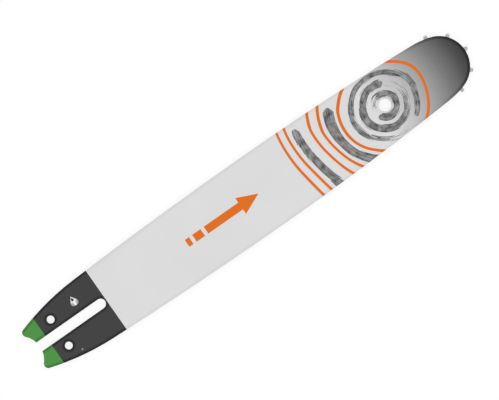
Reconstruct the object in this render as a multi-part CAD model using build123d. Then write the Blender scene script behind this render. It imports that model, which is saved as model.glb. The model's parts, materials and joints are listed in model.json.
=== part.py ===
from build123d import *
import os
from math import acos, asin, atan2, cos, degrees, pi, radians, sin, sqrt

# Guide bar of a chainsaw, lying on its side: +X points to the nose, +Y across the bar, +Z through it.
# Two side plates are welded to a smaller core plate, which leaves the chain groove round the edge.
# In the nose a star sprocket turns on a ring of rollers, round a race that flush rivets hold.
# The origin is on the face that the bar lies on, at the middle of its length and width.

# Chain that the bar carries, in millimetres as all sizes here
chain_pitch = 9.32
groove_gauge = 1.3
groove_depth = 6.0

# Bar outline
bar_length = 410.4          # prong tips to the rail at the nose
bar_width = 62.0            # across the belly, at its widest
widest_from_tail = 218.5
side_thickness = 1.35
edge_break = 0.3            # chamfer round the outer face of a side plate
taper_from_tail = 56.2      # where the tail starts to narrow
taper_radius = 206.0
tail_drop = 3.4             # half width lost from the widest place to the start of the taper
neck_flare = 1.25           # how far the belly's edge clears the nose circle, beside the sprocket's axis
shoulder_radius = 70.0      # arc that leads the belly's edge into the nose
prong_tip_radius = 3.5
notch_radius = 18.3         # hollow between the prong tips, round the saw's drive sprocket

# Holes
slot_width = 8.2
slot_from_tail = 67.8       # prong tips to the round end of the stud slot
tension_hole_diameter = 6.2
tension_hole_from_tail = 24.65
tension_hole_offset = 12.4
oil_hole_diameter = 1.8
oil_hole_from_tail = 31.8
oil_hole_below_rail = 4.3
hang_hole_diameter = 10.0
hang_hole_from_nose = 75.8

# Core plate, with windows that lighten it
window_count = 2
window_land = 10.0          # metal left between windows and beside the slot and the hang hole
window_corner_radius = 6.0
core_rail = 6.0             # metal left between a window and the groove at the neck
tension_hole_wall = 1.5     # metal that the core plate keeps round a tension hole

# Nose sprocket
tooth_count = 9
tooth_tip_width = 2.4
rail_below_pitch = 2.64     # the nose rail lies this far inside the chain's pitch circle
tip_below_pitch = 0.04
tooth_gap_depth = 7.0       # room for the drive links below the nose rail
tooth_gap_radius = 4.2
side_clearance = 0.1        # on each face of the sprocket and the rollers
core_clearance = 1.0        # tooth tips to the core plate

# Nose bearing
race_radius = 6.5
roller_diameter = 3.5
roller_gap = 0.12           # least space between two rollers
bearing_clearance = 0.04

# Nose rivets
rivet_count = 4
rivet_circle_radius = 4.2
rivet_diameter = 3.4
rivet_head_diameter = 3.8
rivet_clearance = 0.01

# Sizes that follow from these
thickness = 2 * side_thickness + groove_gauge
middle_z = thickness / 2
half_width = bar_width / 2
pitch_radius = chain_pitch / (2 * sin(pi / (2 * tooth_count)))
nose_radius = pitch_radius - rail_below_pitch
tooth_tip_radius = pitch_radius - tip_below_pitch
overall_length = bar_length - nose_radius + tooth_tip_radius
tail_x = -overall_length / 2
sprocket_x = tail_x + bar_length - nose_radius
widest_x = tail_x + widest_from_tail
slot_end_x = tail_x + slot_from_tail
hang_hole_x = tail_x + bar_length - hang_hole_from_nose
neck_half_width = nose_radius + neck_flare
moving_thickness = groove_gauge - 2 * side_clearance
roller_radius = roller_diameter / 2
roller_circle_radius = race_radius + bearing_clearance + roller_radius
sprocket_bore_radius = roller_circle_radius + roller_radius + bearing_clearance
roller_count = int(pi / asin((roller_radius + roller_gap / 2) / roller_circle_radius))


def polar(centre, radius, angle):
    return centre + Vector(radius * cos(radians(angle)), radius * sin(radians(angle)))


def direction_of(vector):
    return degrees(atan2(vector.Y, vector.X))


def arc(centre, radius, start, end):
    middle = (start + end) / 2
    return ThreePointArc(*(polar(centre, radius, angle) for angle in (start, middle, end)))


def belly_radius(length, drop):
    """Radius of an arc that falls by drop over a length, from a level start."""
    return (length**2 + drop**2) / (2 * drop)


# Upper edge of the bar, from the tail to the nose: tangent arcs that share their normals where they meet
tail_belly_radius = belly_radius(widest_from_tail - taper_from_tail, tail_drop)
nose_belly_radius = belly_radius(sprocket_x - widest_x, half_width - neck_half_width)
tail_belly_centre = Vector(widest_x, half_width - tail_belly_radius)
nose_belly_centre = Vector(widest_x, half_width - nose_belly_radius)
nose_centre = Vector(sprocket_x, 0)

widest_angle = 90
taper_angle = widest_angle + degrees(asin((widest_from_tail - taper_from_tail) / tail_belly_radius))
taper_centre = polar(tail_belly_centre, tail_belly_radius - taper_radius, taper_angle)

# The shoulder arc touches the belly arc from inside and goes round the nose circle
to_nose = nose_centre - nose_belly_centre
shoulder_to_belly = nose_belly_radius - shoulder_radius
shoulder_to_nose = shoulder_radius - nose_radius
turn_cosine = (shoulder_to_belly**2 + to_nose.length**2 - shoulder_to_nose**2) / (
    2 * shoulder_to_belly * to_nose.length
)
shoulder_angle = direction_of(to_nose) + degrees(acos(turn_cosine))
shoulder_centre = polar(nose_belly_centre, shoulder_to_belly, shoulder_angle)
nose_angle = direction_of(nose_centre - shoulder_centre)

# A prong tip is a small arc inside the taper arc, and the notch touches it from the tail side
tip_x = tail_x + prong_tip_radius
tip_y = taper_centre.Y + sqrt((taper_radius - prong_tip_radius) ** 2 - (tip_x - taper_centre.X) ** 2)
tip_centre = Vector(tip_x, tip_y)
tip_angle = direction_of(tip_centre - taper_centre)
notch_centre = Vector(tip_x - sqrt((notch_radius + prong_tip_radius) ** 2 - tip_y**2), 0)
notch_angle = direction_of(tip_centre - notch_centre)

long_edge = [
    (taper_centre, taper_radius, tip_angle, taper_angle),
    (tail_belly_centre, tail_belly_radius, taper_angle, widest_angle),
    (nose_belly_centre, nose_belly_radius, widest_angle, shoulder_angle),
    (shoulder_centre, shoulder_radius, shoulder_angle, nose_angle),
]
prong_tip = (tip_centre, prong_tip_radius, 180 + notch_angle, tip_angle)
notch = (notch_centre, notch_radius, -notch_angle, notch_angle)


def mirrored(arcs):
    return [(Vector(c.X, -c.Y), radius, -end, -start) for c, radius, start, end in reversed(arcs)]


def bar_outline():
    upper = [prong_tip, *long_edge]
    nose = (nose_centre, nose_radius, nose_angle, -nose_angle)
    return make_face([arc(*piece) for piece in [*upper, nose, *mirrored(upper), notch]])


def core_outline():
    """The bar's outline, set in by the depth of the groove along both edges and open at the tail."""
    past_tail_x = tail_x - groove_depth
    taper_inset = taper_radius - groove_depth
    past_tail_angle = degrees(acos((past_tail_x - taper_centre.X) / taper_inset))
    inset = [(c, radius - groove_depth, start, end) for c, radius, start, end in long_edge]
    inset[0] = (taper_centre, taper_inset, past_tail_angle, taper_angle)
    nose = (nose_centre, nose_radius - groove_depth, nose_angle, -nose_angle)
    edges = [arc(*piece) for piece in [*inset, nose, *mirrored(inset)]]
    corner_y = polar(taper_centre, taper_inset, past_tail_angle).Y
    tail_line = Line((past_tail_x, -corner_y), (past_tail_x, corner_y))
    return make_face([*edges, tail_line]) & bar_outline()


def tension_circles(radius):
    x = tail_x + tension_hole_from_tail
    return [Pos(x, side * tension_hole_offset) * Circle(radius) for side in (1, -1)]


def through_holes():
    """Stud slot, tension holes and hang hole, which pass through all three plates."""
    slot_length = slot_from_tail + slot_width
    slot = Pos(slot_end_x - slot_length / 2, 0) * SlotOverall(slot_length, slot_width)
    hang_hole = Pos(hang_hole_x, 0) * Circle(hang_hole_diameter / 2)
    return [slot, hang_hole, *tension_circles(tension_hole_diameter / 2)]


def oil_hole():
    """Inlet in one prong of each side plate, over the groove. It follows the taper of the edge."""
    reach = taper_radius - oil_hole_below_rail
    x = tail_x + oil_hole_from_tail
    y = taper_centre.Y + sqrt(reach**2 - (x - taper_centre.X) ** 2)
    return Pos(x, -y) * Circle(oil_hole_diameter / 2)


def rivet_places():
    return [
        Pos(sprocket_x, 0, 0) * Rot(0, 0, 360 * n / rivet_count) * Pos(rivet_circle_radius, 0, 0)
        for n in range(rivet_count)
    ]


def rivet(clearance=0.0):
    """Shank with a cone at each end, which fills a side plate's countersink and is ground flush."""
    shank = rivet_diameter / 2 + clearance
    head = rivet_head_diameter / 2 + clearance
    countersink = head - shank
    lower_head = Pos(0, 0, countersink / 2) * Cone(head, shank, countersink)
    upper_head = Pos(0, 0, thickness - countersink / 2) * Cone(shank, head, countersink)
    middle = Pos(0, 0, middle_z) * Cylinder(shank, thickness - 2 * countersink)
    return lower_head + middle + upper_head


def upper_side_plate():
    flat = bar_outline() - through_holes() - oil_hole()
    plate = Pos(0, 0, thickness - side_thickness) * extrude(flat, side_thickness)
    rim = plate.faces().sort_by(Axis.Z)[-1].outer_wire().edges()
    return chamfer(rim, edge_break) - [place * rivet(rivet_clearance) for place in rivet_places()]


def lower_side_plate():
    """The same stamping as the upper plate, turned over about the bar's long axis."""
    return upper_side_plate().rotate(Axis((0, 0, middle_z), (1, 0, 0)), 180)


def core_plate():
    """Spacer between the side plates, lightened by windows and hollowed out round the sprocket."""
    zone_start = slot_end_x + window_land
    zone_end = hang_hole_x - hang_hole_diameter / 2 - window_land
    step = (zone_end - zone_start + window_land) / window_count
    window_half_height = neck_half_width - groove_depth - core_rail
    window = RectangleRounded(step - window_land, 2 * window_half_height, window_corner_radius)
    windows = [
        Pos(zone_start + (n + 0.5) * step - window_land / 2, 0) * window for n in range(window_count)
    ]
    hollow = Pos(sprocket_x, 0) * Circle(tooth_tip_radius + core_clearance)
    eyes = tension_circles(tension_hole_diameter / 2 + tension_hole_wall)
    flat = core_outline() + eyes - through_holes() - windows - hollow
    return Pos(0, 0, side_thickness) * extrude(flat, groove_gauge)


def nose_sprocket():
    """Star wheel with one tooth on the bar's axis. Its gaps are round at the root and flare to the tips."""
    half_pitch = 180 / tooth_count
    root = nose_radius - tooth_gap_depth
    gap_centre = polar(Vector(0, 0), root + tooth_gap_radius, half_pitch)
    tip_half_angle = degrees(asin(tooth_tip_width / 2 / tooth_tip_radius))
    corner = polar(Vector(0, 0), tooth_tip_radius, tip_half_angle)
    far_corner = polar(Vector(0, 0), tooth_tip_radius, 2 * half_pitch - tip_half_angle)
    to_corner = corner - gap_centre
    touch_angle = direction_of(to_corner) - degrees(acos(tooth_gap_radius / to_corner.length))
    gap_floor = arc(gap_centre, tooth_gap_radius, touch_angle, 2 * half_pitch - touch_angle - 360)
    outside = polar(Vector(0, 0), 2 * tooth_tip_radius, half_pitch)
    gap = make_face([
        Line(corner, gap_floor @ 0), gap_floor, Line(gap_floor @ 1, far_corner),
        Line(far_corner, outside), Line(outside, corner),
    ])
    blank = Circle(tooth_tip_radius) - Circle(sprocket_bore_radius)
    star = blank - [Rot(0, 0, 2 * half_pitch * n) * gap for n in range(tooth_count)]
    return Pos(sprocket_x, 0, middle_z) * extrude(star, moving_thickness / 2, both=True)


def bearing_race():
    race = Pos(sprocket_x, 0, middle_z) * Cylinder(race_radius, groove_gauge)
    return race - [place * rivet(rivet_clearance) for place in rivet_places()]


def bearing_roller(number):
    place = Rot(0, 0, 360 * number / roller_count) * Pos(roller_circle_radius, 0, 0)
    return Pos(sprocket_x, 0, middle_z) * place * Cylinder(roller_radius, moving_thickness)


pieces = {
    "upper_side_plate": upper_side_plate(),
    "core_plate": core_plate(),
    "lower_side_plate": lower_side_plate(),
    "nose_sprocket": nose_sprocket(),
    "bearing_race": bearing_race(),
    "nose_rivets": Compound([place * rivet() for place in rivet_places()]),
}
for n in range(roller_count):
    pieces[f"bearing_roller_{n + 1:02d}"] = bearing_roller(n)

os.makedirs("parts", exist_ok=True)
for name, piece in pieces.items():
    export_step(piece, f"parts/{name}.step")
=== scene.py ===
import json
from collections import namedtuple
from math import acos, asin, atan2, cos, hypot, pi, radians, sin, sqrt

import bpy
import numpy as np
from bpy.props import FloatProperty, FloatVectorProperty, IntProperty, PointerProperty
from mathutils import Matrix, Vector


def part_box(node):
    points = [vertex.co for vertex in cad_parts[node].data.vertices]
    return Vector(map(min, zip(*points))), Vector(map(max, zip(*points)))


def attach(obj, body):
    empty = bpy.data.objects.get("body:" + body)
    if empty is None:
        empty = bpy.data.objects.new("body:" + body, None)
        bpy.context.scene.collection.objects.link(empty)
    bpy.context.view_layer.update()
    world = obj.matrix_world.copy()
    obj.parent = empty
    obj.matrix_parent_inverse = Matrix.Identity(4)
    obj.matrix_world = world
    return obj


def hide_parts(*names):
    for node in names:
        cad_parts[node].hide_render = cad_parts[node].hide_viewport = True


# Finishes for a chainsaw guide bar that lies on its side: +X points to the nose, +Z through the bar.
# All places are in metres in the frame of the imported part, and sizes are written in millimetres.

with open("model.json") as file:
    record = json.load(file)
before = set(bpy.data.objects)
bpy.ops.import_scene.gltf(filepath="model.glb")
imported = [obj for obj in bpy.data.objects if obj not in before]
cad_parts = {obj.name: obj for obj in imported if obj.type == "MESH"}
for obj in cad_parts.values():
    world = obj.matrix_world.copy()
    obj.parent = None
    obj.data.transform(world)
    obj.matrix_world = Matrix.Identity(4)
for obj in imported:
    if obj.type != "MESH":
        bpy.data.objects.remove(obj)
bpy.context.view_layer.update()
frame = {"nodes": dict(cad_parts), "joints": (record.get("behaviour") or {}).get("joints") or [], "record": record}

bl_info = {
    "name": "Guide bar finishes",
    "version": (1, 0, 0),
    "blender": (4, 5, 0),
    "location": "3D View > Sidebar > Guide bar",
    "description": "Lacquer, print and steel finishes for a chainsaw guide bar, with a studio stage",
    "category": "Material",
}

MM = 0.001
# Just below the bar's lower face, so that neither shows through the other
FLOOR_HEIGHT = -0.1 * MM
# Nearly all values of a noise texture lie in this span
NOISE_SPAN = (0.3, 0.7)

# Satin lacquer: how strongly it mirrors, and the strength and depth of its relief and the rail's
LACQUER_SPECULAR = 0.25
LACQUER_RELIEF = {"Strength": 0.06, "Distance": 0.1 * MM}
# Tones of the fade between the body's and the nose's: share of the fade's length, and colour
FADE_STOPS = ((0.27, "#BCBCBC"), (0.72, "#707070"), (0.88, "#474747"))
# Rims of painted shade along the edges: share of the width that is darkest, and how dark the tail's is on
# black and on green and the nose's from start to end
EDGE_SHADE_CORE = 0.5
TAIL_EDGE_SHADE_DARKNESS = (0.85, 0.4)
NOSE_EDGE_SHADE_DARKNESS = (0.06, 0.95)
# Blocks of the arrow's shaft: first and last mm behind the head
ARROW_BLOCKS = ((0, 33), (36, 44), (47, 51))
# Brushed rings: radius and width in mm, heading in degrees where the brush sets down, and how far in mm
# past the hang hole the ring goes
BRUSHED_RINGS = (
    (9.4, 5.8, 205, 50),
    (18.0, 6.0, 62, 50),
    (26.6, 4.4, 305, 50),
    (42.6, 7.0, 148, 0),
    (70.8, 6.4, 160, 0),
)
# Brush strokes: half width as a share of the ring's width where the brush sets down and after a turn, the
# share of a turn after which it runs dry, and how thick bristles must be to show after a turn
STROKE_SHARES = (0.55, 0.38)
STROKE_DRIES = 0.35
STROKE_DRYNESS = 0.7
# Thin rings: radius in mm, and how far in mm past the hang hole the ring goes
THIN_RINGS = ((35.5, 50), (50.5, 0), (58.5, 0), (79.0, 0), (86.5, 0))

# Points along the arcs of a sprocket tooth and round its edge, and the angle from which edges look sharp
TIP_POINTS = 5
CORNER_POINTS = 7
GAP_POINTS = 25
EDGE_POINTS = 5
SHARP_ANGLE = radians(40)
# Rings and spokes of the floor's grid
FLOOR_RINGS = 8
FLOOR_SPOKES = 96

nodes = frame["nodes"]
mounts = {mount["name"]: mount for mount in frame["record"]["mounts"]}
joints = {joint["name"]: joint for joint in frame["joints"]}
plate_low, plate_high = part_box("upper_side_plate")
tail_x = plate_low.x
nose_x = plate_high.x
half_width = plate_high.y
sprocket_x = joints["sprocket_spin"]["pos_m"][0]
nose_radius = nose_x - sprocket_x
hang_hole_x = mounts["hang_hole"]["pos_m"][0]
tension_hole_x, tension_hole_y = mounts["tension_hole_upper"]["pos_m"][:2]
tension_hole_radius = mounts["tension_hole_upper"]["dims"]["r_mm"] * MM
rivets_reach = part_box("nose_rivets")[1].x - sprocket_x


def linear(hex_colour):
    """An sRGB hex colour as linear red, green and blue."""
    parts = np.array([int(hex_colour[n:n + 2], 16) for n in (1, 3, 5)]) / 255
    return tuple(np.where(parts <= 0.04045, parts / 12.92, ((parts + 0.055) / 1.055) ** 2.4).tolist())


def length(name, description, millimetres):
    """A length property with its default in millimetres."""
    return FloatProperty(name=name, description=description, default=millimetres * MM, unit="LENGTH")


def colour(name, description, hex_colour):
    """A colour property with its default in sRGB hex."""
    return FloatVectorProperty(
        name=name, description=description, default=linear(hex_colour), subtype="COLOR", min=0, max=1
    )


class EdgeSettings(bpy.types.PropertyGroup):
    """Arcs of the bar's edge, which the rim of painted shade follows."""

    widest_from_tail: length("Widest place", "Prong tips to the widest place of the belly", 218.5)
    taper_from_tail: length("Taper start", "Prong tips to the place where the tail starts to narrow", 56.2)
    taper_radius: length("Taper radius", "Arc that narrows the tail", 206.0)
    tail_drop: length("Tail drop", "Half width lost from the widest place to the taper", 3.4)
    neck_flare: length("Neck flare", "How far the belly clears the nose circle", 1.25)
    shoulder_radius: length("Shoulder radius", "Arc that leads the belly into the nose", 70.0)
    slot_width: length("Slot width", "Width of the stud slot", 8.2)
    slot_from_tail: length("Slot end", "Prong tips to the round end of the stud slot", 67.8)
    lacquer_depth: length("Lacquer depth", "How far down over its broken edge a face is lacquered", 0.33)


class SprocketSettings(bpy.types.PropertyGroup):
    """Form of the nose sprocket, with the roundings that tumbling leaves."""

    teeth: IntProperty(name="Teeth", description="Number of teeth", default=9, min=6)
    tip_width: length("Tip width", "Width of a tooth between the corners of its tip", 2.4)
    tip_round: length("Tip rounding", "Radius at the corners of a tooth's tip", 0.5)
    gap_depth: length("Gap depth", "Nose rail to the floor of a tooth gap", 7.0)
    gap_radius: length("Gap radius", "Radius of the floor of a tooth gap", 4.2)
    bore_radius: length("Bore radius", "Radius of the bore that the rollers run in", 10.08)
    edge_round: length("Edge rounding", "Radius along the edges", 0.15)


class PrintSettings(bpy.types.PropertyGroup):
    """Sizes of the printed fields and marks, and of the painted shade along the edges."""

    tip_length: length("Tip field", "Green field at the prong tips", 14.0)
    tail_length: length("Tail field", "Black field from the prong tips", 69.0)
    fade_length: length("Nose fade", "Length of the fade to the nose rail", 85.0)
    fade_bend: length("Fade bend", "Radius that the bands of the fade follow", 80.0)
    # The tail's and the nose's rims are painted shade along the cut edges
    tail_edge_shade: length("Tail rim", "Dark line along the edges of the tail", 2.6)
    nose_edge_shade: length("Nose rim", "Dark line along the edge of the nose", 2.8)
    nose_edge_shade_start: length("Nose rim start", "Nose rail to where its rim starts to darken", 40.0)
    nose_edge_shade_end: length("Nose rim end", "Nose rail to where its rim is darkest", 4.0)
    drop_from_tail: length("Drop place", "Prong tips to the middle of the oil drop", 47.6)
    drop_across: length("Drop offset", "Bar's axis to the middle of the oil drop", 14.35)
    drop_height: length("Drop height", "Height of the oil drop", 8.3)
    drop_width: length("Drop width", "Width of the oil drop", 6.4)
    arrow_from_tail: length("Arrow tip", "Prong tips to the tip of the direction arrow", 214.0)
    arrow_head: length("Arrow head", "Length of the direction arrow's head", 17.0)
    arrow_height: length("Arrow height", "Height of the direction arrow's head", 15.0)
    arrow_shaft: length("Arrow shaft", "Height of the direction arrow's shaft", 6.5)
    line_width: length("Ring line", "Width of the thin growth rings", 2.3)
    rivet_radius: length("Rivet radius", "Radius of a rivet's head", 1.9)
    rivet_ring: length("Rivet ring", "Width of the ring that shows a rivet's head", 0.35)


class LacquerColours(bpy.types.PropertyGroup):
    """Colours of the lacquer and the print, and of the painted shade along the edges."""

    body: colour("Body", "Light grey lacquer", "#D4D4D4")
    nose: colour("Nose", "Lacquer at the nose rail", "#242424")
    tail: colour("Tail", "Black lacquer", "#333333")
    tip: colour("Tips", "Green lacquer of the prong tips", "#448A3A")
    # Tint of the painted shade along the edges
    edge_shade: colour("Rims", "Tint of the dark lines along the edges", "#161616")
    rivet_ring: colour("Rivet rings", "Tint of the rings that show the rivets' heads", "#DCDCDC")
    accent: colour("Accent", "Orange of the arrow and the thin rings", "#D76806")
    brush_dark: colour("Brush, wet", "Grey where the wash pooled", "#3E3E3E")
    brush_light: colour("Brush, dry", "Grey where the wash is thin", "#9A9A9A")
    drop_light: colour("Drop, lit", "Lit part of the oil drop", "#F0F0F0")
    drop_shade: colour("Drop, shaded", "Shaded part of the oil drop", "#9C9C9C")


class SteelColours(bpy.types.PropertyGroup):
    """Colours of the bare steels."""

    rail: colour("Rails", "Ground edge of a side plate", "#BCBCBE")
    core: colour("Core plate", "Oiled sheet steel", "#7E7E80")
    sprocket: colour("Sprocket", "Tumbled steel", "#AEAEB0")
    bearing: colour("Bearing", "Ground bearing steel", "#C2C2C6")


class StageSettings(bpy.types.PropertyGroup):
    """Camera, lamps and floor."""

    view_width: length("View width", "Width of the picture at the bar's upper face", 389.42)
    view_right: length("View offset right", "Picture's middle from the bar's middle, to the right", -0.84)
    view_up: length("View offset up", "Picture's middle from the bar's middle, upwards", -0.80)
    view_turn: FloatProperty(
        name="View turn", description="How far the bar's axis rises to the right", default=radians(34.99),
        unit="ROTATION",
    )
    camera_height: length("Camera height", "Camera above the bar", 3000.0)
    lamp_place: FloatVectorProperty(
        name="Lamp place", description="One lamp from the bar's middle; the other is across from it",
        default=(0.9, 0.7, 1.3), subtype="TRANSLATION", unit="LENGTH",
    )
    lamp_size: length("Lamp size", "Side of each square lamp", 900.0)
    lamp_power: FloatProperty(
        name="Lamp power", description="Power of each side lamp", default=7.5, unit="POWER"
    )
    world_light: FloatProperty(
        name="World light", description="Strength of the light from all round", default=0.72
    )
    floor_radius: length("Floor radius", "Radius of the round floor", 4000.0)
    floor_white: FloatProperty(
        name="Floor white", description="Share of plain white in the floor as it is seen", default=0.82,
        subtype="FACTOR",
    )
    floor: colour("Floor", "Pale paper floor", "#FCFCFC")


class GuideBarSettings(bpy.types.PropertyGroup):
    """All settings of the guide bar."""

    edge: PointerProperty(type=EdgeSettings)
    sprocket: PointerProperty(type=SprocketSettings)
    printing: PointerProperty(type=PrintSettings)
    lacquer: PointerProperty(type=LacquerColours)
    steel: PointerProperty(type=SteelColours)
    stage: PointerProperty(type=StageSettings)


def add_node(tree, kind, inputs=(), output=None, **settings):
    """Adds a shader node and returns one of its outputs, by default the first that is in use.

    inputs are values or other nodes' outputs for the sockets in use, in order, or by name in a dict.
    """
    node = tree.nodes.new("ShaderNode" + kind)
    for name, value in settings.items():
        setattr(node, name, value)
    sockets = [socket for socket in node.inputs if socket.enabled]
    named = inputs.items() if isinstance(inputs, dict) else zip(sockets, inputs)
    for key, value in named:
        socket = node.inputs[key] if isinstance(key, str) else key
        if isinstance(value, bpy.types.NodeSocket):
            tree.links.new(value, socket)
        elif socket.type == "RGBA":
            socket.default_value = (*value, 1)
        else:
            socket.default_value = value
    if output:
        return node.outputs[output]
    return next((socket for socket in node.outputs if socket.enabled), None)


def new_tree(name):
    """A new material's empty node tree, with the material."""
    material = bpy.data.materials.new(name)
    material.use_nodes = True
    material.node_tree.nodes.clear()
    return material, material.node_tree


def dress(material, *names):
    """Gives CAD nodes a material."""
    for name in names:
        if name not in nodes:
            raise RuntimeError(f"the frame has no node {name}")
        nodes[name].data.materials.clear()
        nodes[name].data.materials.append(material)


def edge_arcs(edge):
    """Arcs of the bar's edge at +Y, from tail to nose, as (centre x, centre y, radius, first x, last x).

    A belly arc that falls by a drop over a length has the radius (length² + drop²) / (2 drop). The taper
    arc's centre is on the line from the belly's centre to where they meet. The shoulder arc lies inside the
    belly arc and round the nose circle, so the three centres make a triangle with known sides.
    """
    widest_x = tail_x + edge.widest_from_tail
    taper_x = tail_x + edge.taper_from_tail
    run = widest_x - taper_x
    tail_radius = (run**2 + edge.tail_drop**2) / (2 * edge.tail_drop)
    tail_y = half_width - tail_radius
    inner = tail_radius - edge.taper_radius
    lean = run / tail_radius
    taper_centre = (widest_x - inner * lean, tail_y + inner * sqrt(1 - lean**2))

    run = sprocket_x - widest_x
    drop = half_width - nose_radius - edge.neck_flare
    belly_radius = (run**2 + drop**2) / (2 * drop)
    belly_y = half_width - belly_radius
    to_shoulder = belly_radius - edge.shoulder_radius
    to_nose = hypot(run, belly_y)
    apart = edge.shoulder_radius - nose_radius
    spread = acos((to_shoulder**2 + to_nose**2 - apart**2) / (2 * to_shoulder * to_nose))
    heading = atan2(-belly_y, run) + spread
    shoulder_centre = (widest_x + to_shoulder * cos(heading), belly_y + to_shoulder * sin(heading))
    shoulder_x = widest_x + belly_radius * cos(heading)
    nose_start_x = sprocket_x + nose_radius * (sprocket_x - shoulder_centre[0]) / apart
    return [
        (*taper_centre, edge.taper_radius, tail_x, taper_x),
        (widest_x, tail_y, tail_radius, taper_x, widest_x),
        (widest_x, belly_y, belly_radius, widest_x, shoulder_x),
        (*shoulder_centre, edge.shoulder_radius, shoulder_x, nose_start_x),
        (sprocket_x, 0, nose_radius, nose_start_x, nose_x),
    ]


def inside_edge(tree, x, across, edge):
    """How far a point lies from the nearest cut edge: the long edges, the stud slot and the tension holes.

    Inside an arc that is its radius less the distance to its centre, for the arc that covers the point's x.
    From the slot it is the distance to its middle line less half its width.
    """
    mirrored = add_node(tree, "Math", [across], operation="ABSOLUTE")
    place = add_node(tree, "CombineXYZ", [x, mirrored, 0])
    nearest = 0.0
    for centre_x, centre_y, radius, first_x, last_x in edge_arcs(edge):
        reach = add_node(tree, "VectorMath", [place, (centre_x, centre_y, 0)], operation="DISTANCE")
        inset = add_node(tree, "Math", [radius, reach], operation="SUBTRACT")
        over = [x, (first_x + last_x) / 2, (last_x - first_x) / 2]
        covered = add_node(tree, "Math", over, operation="COMPARE")
        nearest = add_node(tree, "Math", [inset, covered, nearest], operation="MULTIPLY_ADD")

    slot_centre_x = tail_x + edge.slot_from_tail - edge.slot_width / 2
    past_end = add_node(tree, "Math", [x, slot_centre_x], operation="SUBTRACT")
    past_end = add_node(tree, "Math", [past_end, 0], operation="MAXIMUM")
    from_line = add_node(tree, "CombineXYZ", [past_end, mirrored, 0])
    reach = add_node(tree, "VectorMath", [from_line], operation="LENGTH")
    from_slot = add_node(tree, "Math", [reach, edge.slot_width / 2], operation="SUBTRACT")
    hole = (tension_hole_x, tension_hole_y, 0)
    reach = add_node(tree, "VectorMath", [place, hole], operation="DISTANCE")
    from_hole = add_node(tree, "Math", [reach, tension_hole_radius], operation="SUBTRACT")
    for distance in (from_slot, from_hole):
        nearest = add_node(tree, "Math", [nearest, distance], operation="MINIMUM")
    return nearest


def painted_edge_shade(tree, x, across, on_tail, on_tip, settings):
    """How dark the rims are: painted shade along the cut edges.

    A crisp line of painted shade follows the tail's edges, fainter on the green, and a softer one grows towards
    the nose.
    """
    sizes = settings.printing
    inset = inside_edge(tree, x, across, settings.edge)
    tail_line = [inset, EDGE_SHADE_CORE * sizes.tail_edge_shade, sizes.tail_edge_shade, 1, 0]
    tail_edge_shade = add_node(tree, "MapRange", tail_line)
    tail_edge_shade = add_node(tree, "Math", [tail_edge_shade, on_tail], operation="MULTIPLY")
    darkness = add_node(tree, "MapRange", [on_tip, 0, 1, *TAIL_EDGE_SHADE_DARKNESS])
    tail_edge_shade = add_node(tree, "Math", [tail_edge_shade, darkness], operation="MULTIPLY")
    nose_line = [inset, EDGE_SHADE_CORE * sizes.nose_edge_shade, sizes.nose_edge_shade, 1, 0]
    nose_edge_shade = add_node(tree, "MapRange", nose_line)
    growth = [x, nose_x - sizes.nose_edge_shade_start, nose_x - sizes.nose_edge_shade_end, *NOSE_EDGE_SHADE_DARKNESS]
    darkness = add_node(tree, "MapRange", growth)
    nose_edge_shade = add_node(tree, "Math", [nose_edge_shade, darkness], operation="MULTIPLY")
    return add_node(tree, "Math", [tail_edge_shade, nose_edge_shade], operation="MAXIMUM")


def nose_fade(tree, x, across, settings):
    """Tone of the lacquer along the bar: the body's light grey, which darkens towards the nose rail.

    Its bands bend as the nose does: a point y off the axis is y² / (2 bend radius) further along the fade.
    """
    sizes, look = settings.printing, settings.lacquer
    squared = add_node(tree, "Math", [across, across], operation="MULTIPLY")
    bent = add_node(tree, "Math", [squared, 0.5 / sizes.fade_bend, x], operation="MULTIPLY_ADD")
    along = add_node(tree, "MapRange", [bent, nose_x - sizes.fade_length, nose_x])
    ramp = add_node(tree, "ValToRGB", [along])
    stops = ramp.node.color_ramp.elements
    stops[0].color = (*look.body, 1)
    stops[1].color = (*look.nose, 1)
    for position, tone in FADE_STOPS:
        stops.new(position).color = (*linear(tone), 1)
    return ramp


RingPlace = namedtuple("RingPlace", "along radius ragged_radius turn bristles")


def ring_noise(tree, heading, radius, spacing, scale, detail):
    """Noise over a point's heading round the hang hole, which changes over the spacing from ring to ring."""
    outward = add_node(tree, "Math", [radius, 1 / spacing], operation="MULTIPLY")
    outward = add_node(tree, "CombineXYZ", [0, 0, outward])
    spot = add_node(tree, "VectorMath", [heading, outward], operation="ADD")
    return add_node(tree, "TexNoise", {"Vector": spot, "Scale": scale, "Detail": detail})


def ring_place(tree, flat):
    """A point's place among the growth rings: how far past the hang hole, its radii and turn, and bristles.

    Noise over the heading bends the radius round the hole a little, as a tree's rings bend. The bristles are
    noise that changes over 0.7 mm across a ring and slowly along it, and they make a radius ragged by 0.8 mm.
    """
    away = add_node(tree, "VectorMath", [flat, (hang_hole_x, 0, 0)], operation="SUBTRACT")
    radius = add_node(tree, "VectorMath", [away], operation="LENGTH")
    heading = add_node(tree, "VectorMath", [away], operation="NORMALIZE")
    along, beside, _ = add_node(tree, "SeparateXYZ", [away]).node.outputs
    turn = add_node(tree, "Math", [beside, along], operation="ARCTAN2")
    wander = ring_noise(tree, heading, radius, 70 * MM, 1.1, 0.0)
    bend = add_node(tree, "MapRange", [wander, *NOISE_SPAN, 0.95, 1.05])
    bent = add_node(tree, "Math", [radius, bend], operation="MULTIPLY")
    bristles = ring_noise(tree, heading, radius, 0.7 * MM, 1.0, 3.0)
    ragged = add_node(tree, "MapRange", [bristles, *NOISE_SPAN, -0.8 * MM, 0.8 * MM])
    ragged = add_node(tree, "Math", [bent, ragged], operation="ADD")
    return RingPlace(along, bent, ragged, turn, bristles)


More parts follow.
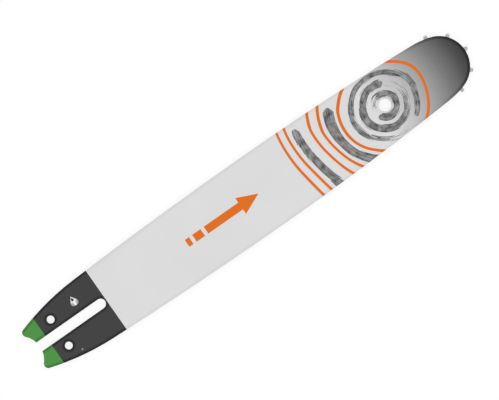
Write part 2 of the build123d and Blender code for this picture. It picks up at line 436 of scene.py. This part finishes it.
def thin_rings(tree, place, line_width):
    """Mask of the thin growth rings: points whose radius is within half a line of a ring's own."""
    mask = 0.0
    for ring, limit in THIN_RINGS:
        on_ring = add_node(tree, "Math", [place.radius, ring * MM, line_width / 2], operation="COMPARE")
        in_reach = add_node(tree, "Math", [place.along, limit * MM], operation="LESS_THAN")
        on_ring = add_node(tree, "Math", [on_ring, in_reach], operation="MULTIPLY")
        mask = add_node(tree, "Math", [mask, on_ring], operation="MAXIMUM")
    return mask


def brush_stroke(tree, place, ring, width, start, limit):
    """Mask of one brushed ring, and how near a point of it is to the stroke's edge, from 0 to 1.

    The stroke starts at one heading, wide and wet, and is spent after a turn. Its half width narrows evenly,
    and its first end is round: there it grows as the square root of the way. Later the brush runs dry, and
    shows only where its bristles are thick enough.
    """
    spent = add_node(tree, "Math", [place.turn, 1 / (2 * pi), -start / 360], operation="MULTIPLY_ADD")
    spent = add_node(tree, "Math", [spent], operation="FRACT")
    first_half, last_half = (share * width * MM for share in STROKE_SHARES)
    half = add_node(tree, "MapRange", [spent, 0, 1, first_half, last_half])
    cap = add_node(tree, "MapRange", [spent, 0, width / (4 * pi * ring)])
    cap = add_node(tree, "Math", [cap], operation="SQRT")
    half = add_node(tree, "Math", [half, cap], operation="MULTIPLY")
    off_ring = add_node(tree, "Math", [place.ragged_radius, ring * MM], operation="SUBTRACT")
    off_ring = add_node(tree, "Math", [off_ring], operation="ABSOLUTE")
    on_ring = add_node(tree, "Math", [off_ring, half], operation="LESS_THAN")
    in_reach = add_node(tree, "Math", [place.along, limit * MM], operation="LESS_THAN")
    needed = add_node(tree, "MapRange", [spent, STROKE_DRIES, 1, 0, STROKE_DRYNESS])
    wet = add_node(tree, "Math", [place.bristles, needed], operation="GREATER_THAN")
    stroke = add_node(tree, "Math", [on_ring, in_reach], operation="MULTIPLY")
    stroke = add_node(tree, "Math", [stroke, wet], operation="MULTIPLY")
    to_edge = add_node(tree, "Math", [off_ring, half], operation="DIVIDE")
    return stroke, add_node(tree, "Math", [stroke, to_edge], operation="MULTIPLY")


def brushed_rings(tree, flat, place, look):
    """Mask and ink of the brushed growth rings. The ink is a thin grey wash that pools along the edges."""
    mask = pooled = 0.0
    for ring in BRUSHED_RINGS:
        stroke, to_edge = brush_stroke(tree, place, *ring)
        mask = add_node(tree, "Math", [mask, stroke], operation="MAXIMUM")
        pooled = add_node(tree, "Math", [pooled, to_edge], operation="MAXIMUM")

    # Blots of the wash are about 5 mm across, and bristle streaks cross them
    blots = add_node(tree, "TexNoise", {"Vector": flat, "Scale": 1 / (5 * MM), "Detail": 3.0})
    grain = add_node(tree, "Mix", [0.45, blots, place.bristles], data_type="FLOAT")
    grain = add_node(tree, "MapRange", [grain, 0.38, 0.62])
    ink = add_node(tree, "Mix", [grain, look.brush_dark, look.brush_light], data_type="RGBA")
    edge = add_node(tree, "MapRange", [pooled, 0.6, 1.0, 0.0, 0.45])
    ink = add_node(tree, "Mix", [edge, ink, look.brush_dark], data_type="RGBA")
    return mask, ink


def direction_arrow(tree, x, across, sizes):
    """Mask of an arrow that points to the nose.

    Its half height falls evenly to nothing along the head, and is constant along the blocks of its shaft.
    """
    tip_x = tail_x + sizes.arrow_from_tail
    head_x = tip_x - sizes.arrow_head
    head = add_node(tree, "MapRange", [x, head_x, tip_x, sizes.arrow_height / 2, 0])
    past = add_node(tree, "Math", [x, head_x], operation="GREATER_THAN")
    limit = add_node(tree, "Math", [head, past], operation="MULTIPLY")
    for start, end in ARROW_BLOCKS:
        middle = head_x - (start + end) / 2 * MM
        block = add_node(tree, "Math", [x, middle, (end - start) / 2 * MM], operation="COMPARE")
        limit = add_node(tree, "Math", [block, sizes.arrow_shaft / 2, limit], operation="MULTIPLY_ADD")
    off_axis = add_node(tree, "Math", [across], operation="ABSOLUTE")
    return add_node(tree, "Math", [off_axis, limit], operation="LESS_THAN")


def drop_shape(tree, t, beside, width):
    """How far beside the axis a drop reaches, and the mask of points within it.

    With t from 0 at the tip to 1 at the round end, the half width is proportional to t^1.5 (1 - t)^0.5,
    which is greatest at t = 0.75.
    """
    widest = 0.75**1.5 * 0.25**0.5
    flare = add_node(tree, "Math", [t, 1.5], operation="POWER")
    left = add_node(tree, "Math", [1, t], operation="SUBTRACT")
    left = add_node(tree, "Math", [left], operation="SQRT")
    half = add_node(tree, "Math", [flare, left], operation="MULTIPLY")
    half = add_node(tree, "Math", [half, width / 2 / widest], operation="MULTIPLY")
    off_axis = add_node(tree, "Math", [beside], operation="ABSOLUTE")
    return half, add_node(tree, "Math", [off_axis, half], operation="LESS_THAN")


def oil_drop(tree, x, across, settings):
    """Mask and colour of an oil drop that marks the oil inlet, with a small dark drop inside its tip."""
    sizes, look = settings.printing, settings.lacquer
    tip = sizes.drop_across + sizes.drop_height / 2
    t = add_node(tree, "MapRange", [across, tip, tip - sizes.drop_height])
    beside = add_node(tree, "Math", [x, tail_x + sizes.drop_from_tail], operation="SUBTRACT")
    half, mask = drop_shape(tree, t, beside, sizes.drop_width)

    # Shade deepens to both sides of the belly
    lean = add_node(tree, "Math", [beside, half], operation="DIVIDE")
    lean = add_node(tree, "Math", [lean], operation="ABSOLUTE")
    shade = add_node(tree, "MapRange", [lean, 0.05, 0.6])
    low = add_node(tree, "MapRange", [t, 0.45, 0.7])
    shade = add_node(tree, "Math", [shade, low], operation="MULTIPLY")
    ink = add_node(tree, "Mix", [shade, look.drop_light, look.drop_shade], data_type="RGBA")

    # The small drop goes from 0.12 to 0.52 of the large one's height, a little to the tail's side
    inner_t = add_node(tree, "MapRange", [t, 0.12, 0.52])
    inner_beside = add_node(tree, "Math", [beside, 0.03 * sizes.drop_width], operation="ADD")
    _, inner_mask = drop_shape(tree, inner_t, inner_beside, 0.36 * sizes.drop_width)
    ink = add_node(tree, "Mix", [inner_mask, ink, look.tail], data_type="RGBA")
    return mask, ink


def printed_ink(tree, x, across, settings):
    """Colour of a printed face: the fade, then each layer of print over the one before, then the painted edge
    shade.
    """
    sizes, look = settings.printing, settings.lacquer
    flat = add_node(tree, "CombineXYZ", [x, across, 0])
    place = ring_place(tree, flat)
    on_tail = add_node(tree, "Math", [x, tail_x + sizes.tail_length], operation="LESS_THAN")
    on_tip = add_node(tree, "Math", [x, tail_x + sizes.tip_length], operation="LESS_THAN")
    layers = [
        (thin_rings(tree, place, sizes.line_width), look.accent),
        brushed_rings(tree, flat, place, look),
        (direction_arrow(tree, x, across, sizes), look.accent),
        (on_tail, look.tail),
        oil_drop(tree, x, across, settings),
        (on_tip, look.tip),
    ]
    ink = nose_fade(tree, x, across, settings)
    for mask, layer in layers:
        ink = add_node(tree, "Mix", [mask, ink, layer], data_type="RGBA")
    # Painted shade darkens the ink along the cut edges
    edge_shade = painted_edge_shade(tree, x, across, on_tail, on_tip, settings)
    return add_node(tree, "Mix", [edge_shade, ink, look.edge_shade], data_type="RGBA", blend_type="MULTIPLY")


def orange_peel(tree, coords):
    """Height and roughness of sprayed lacquer, whose orange peel is about 1.2 mm from crest to crest."""
    peel = add_node(tree, "TexNoise", {"Vector": coords, "Scale": 1 / (1.2 * MM), "Detail": 1.0})
    return peel, add_node(tree, "MapRange", [peel, *NOISE_SPAN, 0.38, 0.46])


def lacquered_plate(name, side, settings):
    """Satin lacquer, sprayed and screen printed on stamped steel, with ground rails.

    The eye gets an even, slightly soft sheen over the flat face and its broken edge, crisp fields of colour,
    and bare steel with fine lines along the rails. side is 1 for the upper plate and -1 for the lower one.
    """
    material, tree = new_tree(name)
    coords = add_node(tree, "TexCoord", output="Object")
    x, y, z = add_node(tree, "SeparateXYZ", [coords]).node.outputs
    across = add_node(tree, "Math", [y, side], operation="MULTIPLY")
    face_z = plate_high.z if side > 0 else 0.0
    painted = add_node(tree, "Math", [z, face_z, settings.edge.lacquer_depth], operation="COMPARE")

    # Spray leaves faint clouds a few centimetres wide
    clouds = add_node(tree, "TexNoise", {"Vector": coords, "Scale": 1 / (45 * MM), "Detail": 1.0})
    clouds = add_node(tree, "MapRange", [clouds, *NOISE_SPAN, 0.985, 1.015])
    ink = printed_ink(tree, x, across, settings)
    ink = add_node(tree, "VectorMath", {"Vector": ink, "Scale": clouds}, operation="SCALE")

    # Grinding lines along the rail, 0.1 mm apart and about 9 mm long
    line_scale = (1 / (9 * MM), 1 / (9 * MM), 1 / (0.1 * MM))
    stretched = add_node(tree, "Mapping", {"Vector": coords, "Scale": line_scale})
    lines = add_node(tree, "TexNoise", {"Vector": stretched, "Scale": 1.0, "Detail": 2.0})
    bright = add_node(tree, "MapRange", [lines, *NOISE_SPAN, 0.75, 1.1])
    rail = add_node(tree, "VectorMath", {"Vector": settings.steel.rail, "Scale": bright}, operation="SCALE")
    base = add_node(tree, "Mix", [painted, rail, ink], data_type="RGBA")

    peel, lacquer_rough = orange_peel(tree, coords)
    rail_rough = add_node(tree, "MapRange", [lines, *NOISE_SPAN, 0.28, 0.45])
    rough = add_node(tree, "Mix", [painted, rail_rough, lacquer_rough], data_type="FLOAT")
    height = add_node(tree, "Mix", [painted, lines, peel], data_type="FLOAT")
    bump = add_node(tree, "Bump", {**LACQUER_RELIEF, "Height": height})
    metal = add_node(tree, "Math", [1, painted], operation="SUBTRACT")
    shader = add_node(tree, "BsdfPrincipled", {
        "Base Color": base, "Metallic": metal, "Roughness": rough, "Normal": bump,
        "Specular IOR Level": LACQUER_SPECULAR,
    })
    add_node(tree, "OutputMaterial", {"Surface": shader})
    return material


def lacquered_rivets(settings):
    """Rivet heads, ground flush and lacquered with the nose: they show only by a fine, darker ring.

    The four heads lie on the axes round the sprocket's centre, so the larger of a point's two offsets from
    there, less the heads' distance, and the smaller are the point's place on its own head.
    """
    sizes, look = settings.printing, settings.lacquer
    material, tree = new_tree("lacquered_rivet_steel")
    coords = add_node(tree, "TexCoord", output="Object")
    x, y, _ = add_node(tree, "SeparateXYZ", [coords]).node.outputs
    along = add_node(tree, "Math", [x, sprocket_x], operation="SUBTRACT")
    along = add_node(tree, "Math", [along], operation="ABSOLUTE")
    beside = add_node(tree, "Math", [y], operation="ABSOLUTE")
    outward = add_node(tree, "Math", [along, beside], operation="MAXIMUM")
    sideways = add_node(tree, "Math", [along, beside], operation="MINIMUM")
    place = add_node(tree, "CombineXYZ", [outward, sideways, 0])
    centre = (rivets_reach - sizes.rivet_radius, 0, 0)
    reach = add_node(tree, "VectorMath", [place, centre], operation="DISTANCE")
    ring = add_node(tree, "MapRange", [reach, sizes.rivet_radius - sizes.rivet_ring, sizes.rivet_radius])
    ink = nose_fade(tree, x, y, settings)
    ink = add_node(tree, "Mix", [ring, ink, look.rivet_ring], data_type="RGBA", blend_type="MULTIPLY")
    peel, rough = orange_peel(tree, coords)
    bump = add_node(tree, "Bump", {**LACQUER_RELIEF, "Height": peel})
    shader = add_node(tree, "BsdfPrincipled", {
        "Base Color": ink, "Roughness": rough, "Normal": bump, "Specular IOR Level": LACQUER_SPECULAR,
    })
    add_node(tree, "OutputMaterial", {"Surface": shader})
    return material


def oiled_core(steel):
    """Cold rolled sheet steel under oil: dull grey, with rolling lines along the bar and darker patches."""
    material, tree = new_tree("oiled_sheet_steel")
    coords = add_node(tree, "TexCoord", output="Object")
    line_scale = (1 / (30 * MM), 1 / (0.4 * MM), 1 / (0.4 * MM))
    stretched = add_node(tree, "Mapping", {"Vector": coords, "Scale": line_scale})
    lines = add_node(tree, "TexNoise", {"Vector": stretched, "Scale": 1.0, "Detail": 3.0})
    patches = add_node(tree, "TexNoise", {"Vector": coords, "Scale": 1 / (18 * MM), "Detail": 2.0})
    tone = add_node(tree, "MapRange", [patches, *NOISE_SPAN, 0.8, 1.1])
    base = add_node(tree, "VectorMath", {"Vector": steel.core, "Scale": tone}, operation="SCALE")
    rough = add_node(tree, "MapRange", [lines, *NOISE_SPAN, 0.36, 0.55])
    bump = add_node(tree, "Bump", {"Strength": 0.1, "Distance": 0.05 * MM, "Height": lines})
    shader = add_node(tree, "BsdfPrincipled", {
        "Base Color": base, "Metallic": 1.0, "Roughness": rough, "Normal": bump,
    })
    add_node(tree, "OutputMaterial", {"Surface": shader})
    return material


def from_axis(tree, coords):
    """A point's distance from the sprocket's axis."""
    away = add_node(tree, "VectorMath", [coords, (sprocket_x, 0, 0)], operation="SUBTRACT")
    away = add_node(tree, "VectorMath", [away, (1, 1, 0)], operation="MULTIPLY")
    return add_node(tree, "VectorMath", [away], operation="LENGTH")


def tumbled_sprocket(steel):
    """Hardened steel, tumbled bright: a soft sparkle of small dents, and tips that the chain has polished.

    The polish starts 3 mm inside the nose rail and is full 2 mm outside it.
    """
    material, tree = new_tree("tumbled_sprocket_steel")
    coords = add_node(tree, "TexCoord", output="Object")
    radius = from_axis(tree, coords)
    polish = add_node(tree, "MapRange", [radius, nose_radius - 3 * MM, nose_radius + 2 * MM])
    dents = add_node(tree, "TexNoise", {"Vector": coords, "Scale": 1 / (0.5 * MM), "Detail": 2.0})
    tone = add_node(tree, "MapRange", [dents, *NOISE_SPAN, 0.85, 1.05])
    base = add_node(tree, "VectorMath", {"Vector": steel.sprocket, "Scale": tone}, operation="SCALE")
    dull = add_node(tree, "MapRange", [dents, *NOISE_SPAN, 0.4, 0.52])
    rough = add_node(tree, "Math", [polish, -0.12, dull], operation="MULTIPLY_ADD")
    bump = add_node(tree, "Bump", {"Strength": 0.15, "Distance": 0.05 * MM, "Height": dents})
    shader = add_node(tree, "BsdfPrincipled", {
        "Base Color": base, "Metallic": 1.0, "Roughness": rough, "Normal": bump,
    })
    add_node(tree, "OutputMaterial", {"Surface": shader})
    return material


def ground_bearing(steel):
    """Bearing steel, ground and greased: bright and smooth, with grinding marks in rings round the axis."""
    material, tree = new_tree("ground_bearing_steel")
    coords = add_node(tree, "TexCoord", output="Object")
    rings = add_node(tree, "Math", [from_axis(tree, coords), 1 / (0.15 * MM)], operation="MULTIPLY")
    marks = add_node(tree, "TexNoise", {"W": rings, "Scale": 1.0, "Detail": 2.0}, noise_dimensions="1D")
    grease = add_node(tree, "TexNoise", {"Vector": coords, "Scale": 1 / (3 * MM), "Detail": 2.0})
    tone = add_node(tree, "MapRange", [grease, 0.35, 0.65, 0.78, 1.0])
    base = add_node(tree, "VectorMath", {"Vector": steel.bearing, "Scale": tone}, operation="SCALE")
    rough = add_node(tree, "MapRange", [marks, *NOISE_SPAN, 0.16, 0.3])
    shader = add_node(tree, "BsdfPrincipled", {"Base Color": base, "Metallic": 1.0, "Roughness": rough})
    add_node(tree, "OutputMaterial", {"Surface": shader})
    return material


def sprocket_outline(form, tip_radius):
    """Points of the star's outline and their outward directions, as complex numbers round its centre.

    Each pitch has four arcs, which straight flanks join: the tip, its corner, the floor of the gap and the
    next tooth's corner. A flank runs from the tip's sharp corner to where it touches the floor's circle. The
    rounded corner's centre lies that rounding's radius inside both the flank and the tip circle.
    """
    half_pitch = pi / form.teeth
    gap_centre = (nose_radius - form.gap_depth + form.gap_radius) * np.exp(1j * half_pitch)
    sharp_corner = tip_radius * np.exp(1j * asin(form.tip_width / 2 / tip_radius))
    to_corner = sharp_corner - gap_centre
    touch = np.angle(to_corner) - acos(form.gap_radius / abs(to_corner))
    flank_out = -np.exp(1j * touch)
    flank_in = 1j * flank_out
    start = sharp_corner - form.tip_round * flank_out
    back = (start * flank_in.conjugate()).real
    slide = -back - sqrt(back**2 - abs(start) ** 2 + (tip_radius - form.tip_round) ** 2)
    corner_centre = start + slide * flank_in
    next_centre = corner_centre.conjugate() * np.exp(2j * half_pitch)

    tip_turn, flank_turn, pitch = np.angle(corner_centre), np.angle(flank_out), 2 * half_pitch
    arcs = (
        (0, tip_radius, np.linspace(-tip_turn, tip_turn, TIP_POINTS)[1:-1], 1),
        (corner_centre, form.tip_round, np.linspace(tip_turn, flank_turn, CORNER_POINTS), 1),
        (gap_centre, form.gap_radius, np.linspace(touch, pitch - touch - 2 * pi, GAP_POINTS), -1),
        (next_centre, form.tip_round, pitch - np.linspace(flank_turn, tip_turn, CORNER_POINTS), 1),
    )
    points = np.concatenate([centre + radius * np.exp(1j * turns) for centre, radius, turns, _ in arcs])
    outward = np.concatenate([side * np.exp(1j * turns) for _, _, turns, side in arcs])
    pitches = np.exp(1j * pitch * np.arange(form.teeth))[:, None]
    return (pitches * points).ravel(), (pitches * outward).ravel()


def sprocket_mesh(form):
    """The star wheel, as a grid of its section and its outline that is closed both ways.

    The section starts at the bore, goes out along the lower face, up round the edge, and back along the upper
    face. On a rounded edge of radius e, at the turn t from the face, a point lies e (1 - sin t) inside the
    outline and e (1 - cos t) from the face.
    """
    low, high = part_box("nose_sprocket")
    outline, outward = sprocket_outline(form, high.x - sprocket_x)
    turn = np.linspace(0, pi / 2, EDGE_POINTS)
    # A row a little inside the rounded edge keeps the face's shading flat
    inset = np.append(3 * form.edge_round, form.edge_round * (1 - np.sin(turn)))
    rise = np.append(0, form.edge_round * (1 - np.cos(turn)))
    edge = outline - outward * np.append(inset, inset[::-1])[:, None]
    bore = form.bore_radius * outline / abs(outline)
    plan = np.vstack([bore, edge, bore])
    height = np.concatenate([[low.z], low.z + rise, high.z - rise[::-1], [high.z]])
    height = np.broadcast_to(height[:, None], plan.shape)
    points = np.stack([sprocket_x + plan.real, plan.imag, height], axis=-1).reshape(-1, 3)

    corner = np.arange(plan.size).reshape(plan.shape)
    along = np.roll(corner, -1, axis=1)
    quads = np.stack([corner, along, np.roll(along, -1, axis=0), np.roll(corner, -1, axis=0)], axis=-1)
    mesh = bpy.data.meshes.new("tumbled_nose_sprocket")
    mesh.from_pydata(points, [], quads.reshape(-1, 4).tolist())
    mesh.shade_smooth()
    mesh.set_sharp_from_angle(angle=SHARP_ANGLE)
    return mesh


def seen_directly(tree):
    """1 for rays that show the background: from the camera, from a reflection or through glass."""
    rays = add_node(tree, "LightPath").node.outputs
    seen = add_node(tree, "Math", [rays["Is Camera Ray"], rays["Is Glossy Ray"]], operation="MAXIMUM")
    return add_node(tree, "Math", [seen, rays["Is Transmission Ray"]], operation="MAXIMUM")


def matt_paper(stage):
    """Matt white paper under studio light: seen as white, with enough of its shading to keep the shadow.

    Its fibres are too fine to show, so they are drawn as a faint mottle 4 mm wide.
    """
    material, tree = new_tree("matt_white_paper")
    coords = add_node(tree, "TexCoord", output="Object")
    fibres = add_node(tree, "TexNoise", {"Vector": coords, "Scale": 1 / (4 * MM), "Detail": 2.0})
    tone = add_node(tree, "MapRange", [fibres, *NOISE_SPAN, 0.99, 1.0])
    base = add_node(tree, "VectorMath", {"Vector": stage.floor, "Scale": tone}, operation="SCALE")
    matt = add_node(tree, "BsdfDiffuse", {"Color": base})
    white = add_node(tree, "Emission", {"Color": (1, 1, 1), "Strength": 1.0})
    share = add_node(tree, "Math", [seen_directly(tree), stage.floor_white], operation="MULTIPLY")
    shader = add_node(tree, "MixShader", [share, matt, white])
    add_node(tree, "OutputMaterial", {"Surface": shader})
    return material


def round_floor(radius):
    """A disc just below the bar's lower face, as a grid of radius and angle: (r cos a, r sin a, height)."""
    rings = np.linspace(0, radius, FLOOR_RINGS + 1)[1:]
    angles = np.linspace(0, 2 * pi, FLOOR_SPOKES, endpoint=False)
    r, a = np.meshgrid(rings, angles, indexing="ij")
    height = np.full_like(r, FLOOR_HEIGHT)
    grid = np.stack([r * np.cos(a), r * np.sin(a), height], axis=-1).reshape(-1, 3)
    points = np.vstack([grid, (0, 0, FLOOR_HEIGHT)])
    corner = np.arange(r.size).reshape(r.shape)
    after = np.roll(corner, -1, axis=1)
    quads = np.stack([corner[:-1], corner[1:], after[1:], after[:-1]], axis=-1)
    hub = np.full(FLOOR_SPOKES, len(grid))
    middle = np.stack([corner[0], after[0], hub], axis=-1)
    mesh = bpy.data.meshes.new("paper_floor")
    mesh.from_pydata(points, [], [*quads.reshape(-1, 4).tolist(), *middle.tolist()])
    return mesh


def add_floor(scene, stage):
    """The paper floor, which isn't part of the object."""
    floor = bpy.data.objects.new("paper_floor", round_floor(stage.floor_radius))
    floor.data.materials.append(matt_paper(stage))
    scene.collection.objects.link(floor)


def light_world(scene, stage):
    """Even light from all round, seen as white."""
    world = bpy.data.worlds.new("studio")
    scene.world = world
    world.use_nodes = True
    tree = world.node_tree
    tree.nodes.clear()
    strength = add_node(tree, "MapRange", [seen_directly(tree), 0, 1, stage.world_light, 1.0])
    sky = add_node(tree, "Background", {"Color": (1, 1, 1), "Strength": strength})
    add_node(tree, "OutputWorld", {"Surface": sky})


def add_lamp(scene, stage, name, side):
    """A square lamp at one side of the bar, turned to the middle of its upper face."""
    lamp = bpy.data.lights.new(name, "AREA")
    lamp.size = stage.lamp_size
    lamp.energy = stage.lamp_power
    holder = bpy.data.objects.new(name, lamp)
    x, y, z = stage.lamp_place
    holder.location = (side * x, side * y, z)
    holder.rotation_euler = (atan2(hypot(x, y), z - plate_high.z), 0, atan2(side * x, -side * y))
    scene.collection.objects.link(holder)


def add_camera(scene, stage):
    """A camera straight above the bar, turned so that the bar's axis rises to the right."""
    camera = bpy.data.cameras.new("camera")
    camera.lens = camera.sensor_width * stage.camera_height / stage.view_width
    holder = bpy.data.objects.new("camera", camera)
    right = np.array([cos(stage.view_turn), -sin(stage.view_turn)])
    up = np.array([sin(stage.view_turn), cos(stage.view_turn)])
    middle = right * stage.view_right + up * stage.view_up
    holder.location = (*middle, plate_high.z + stage.camera_height)
    holder.rotation_euler = (0, 0, -stage.view_turn)
    scene.collection.objects.link(holder)
    scene.camera = holder


class GUIDEBAR_OT_lacquer_side_plates(bpy.types.Operator):
    """Lacquer and print both side plates"""

    bl_idname = "guidebar.lacquer_side_plates"
    bl_label = "Lacquer side plates"

    def execute(self, context):
        settings = context.scene.guide_bar
        dress(lacquered_plate("satin_lacquered_steel_upper", 1, settings), "upper_side_plate")
        dress(lacquered_plate("satin_lacquered_steel_lower", -1, settings), "lower_side_plate")
        return {"FINISHED"}


class GUIDEBAR_OT_oil_core_plate(bpy.types.Operator):
    """Give the core plate its oiled sheet steel"""

    bl_idname = "guidebar.oil_core_plate"
    bl_label = "Oil core plate"

    def execute(self, context):
        dress(oiled_core(context.scene.guide_bar.steel), "core_plate")
        return {"FINISHED"}


class GUIDEBAR_OT_tumble_nose_sprocket(bpy.types.Operator):
    """Put a star wheel with tumbled edges in the nose sprocket's place"""

    bl_idname = "guidebar.tumble_nose_sprocket"
    bl_label = "Tumble nose sprocket"

    def execute(self, context):
        settings = context.scene.guide_bar
        sprocket = bpy.data.objects.new("tumbled_nose_sprocket", sprocket_mesh(settings.sprocket))
        sprocket.data.materials.append(tumbled_sprocket(settings.steel))
        context.scene.collection.objects.link(sprocket)
        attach(sprocket, "sprocket")
        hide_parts("nose_sprocket")
        return {"FINISHED"}


class GUIDEBAR_OT_grind_nose_bearing(bpy.types.Operator):
    """Give the race and the rollers of the nose bearing their ground steel"""

    bl_idname = "guidebar.grind_nose_bearing"
    bl_label = "Grind nose bearing"

    def execute(self, context):
        rollers = [name for name in nodes if name.startswith("bearing_roller")]
        dress(ground_bearing(context.scene.guide_bar.steel), "bearing_race", *rollers)
        return {"FINISHED"}


class GUIDEBAR_OT_lacquer_nose_rivets(bpy.types.Operator):
    """Lacquer the rivet heads over with the nose"""

    bl_idname = "guidebar.lacquer_nose_rivets"
    bl_label = "Lacquer nose rivets"

    def execute(self, context):
        dress(lacquered_rivets(context.scene.guide_bar), "nose_rivets")
        return {"FINISHED"}


class GUIDEBAR_OT_set_stage(bpy.types.Operator):
    """Add the floor, the lamps, the world and the camera"""

    bl_idname = "guidebar.set_stage"
    bl_label = "Set stage"

    def execute(self, context):
        scene = context.scene
        stage = scene.guide_bar.stage
        scene.view_settings.view_transform = "Standard"
        add_floor(scene, stage)
        light_world(scene, stage)
        add_lamp(scene, stage, "lamp_left", -1)
        add_lamp(scene, stage, "lamp_right", 1)
        add_camera(scene, stage)
        return {"FINISHED"}


OPERATORS = (
    GUIDEBAR_OT_lacquer_side_plates,
    GUIDEBAR_OT_oil_core_plate,
    GUIDEBAR_OT_tumble_nose_sprocket,
    GUIDEBAR_OT_grind_nose_bearing,
    GUIDEBAR_OT_lacquer_nose_rivets,
    GUIDEBAR_OT_set_stage,
)


class VIEW3D_PT_guide_bar(bpy.types.Panel):
    """Lists the finishing steps"""

    bl_label = "Guide bar"
    bl_space_type = "VIEW_3D"
    bl_region_type = "UI"
    bl_category = "Guide bar"

    def draw(self, context):
        for operator in OPERATORS:
            self.layout.operator(operator.bl_idname)


CLASSES = (
    EdgeSettings,
    SprocketSettings,
    PrintSettings,
    LacquerColours,
    SteelColours,
    StageSettings,
    GuideBarSettings,
    *OPERATORS,
    VIEW3D_PT_guide_bar,
)


def register():
    for cls in CLASSES:
        bpy.utils.register_class(cls)
    bpy.types.Scene.guide_bar = PointerProperty(type=GuideBarSettings)


def unregister():
    del bpy.types.Scene.guide_bar
    for cls in reversed(CLASSES):
        bpy.utils.unregister_class(cls)


def main():
    """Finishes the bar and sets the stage."""
    register()
    bpy.ops.guidebar.lacquer_side_plates()
    bpy.ops.guidebar.oil_core_plate()
    bpy.ops.guidebar.tumble_nose_sprocket()
    bpy.ops.guidebar.grind_nose_bearing()
    bpy.ops.guidebar.lacquer_nose_rivets()
    bpy.ops.guidebar.set_stage()


if __name__ == "__main__":
    main()
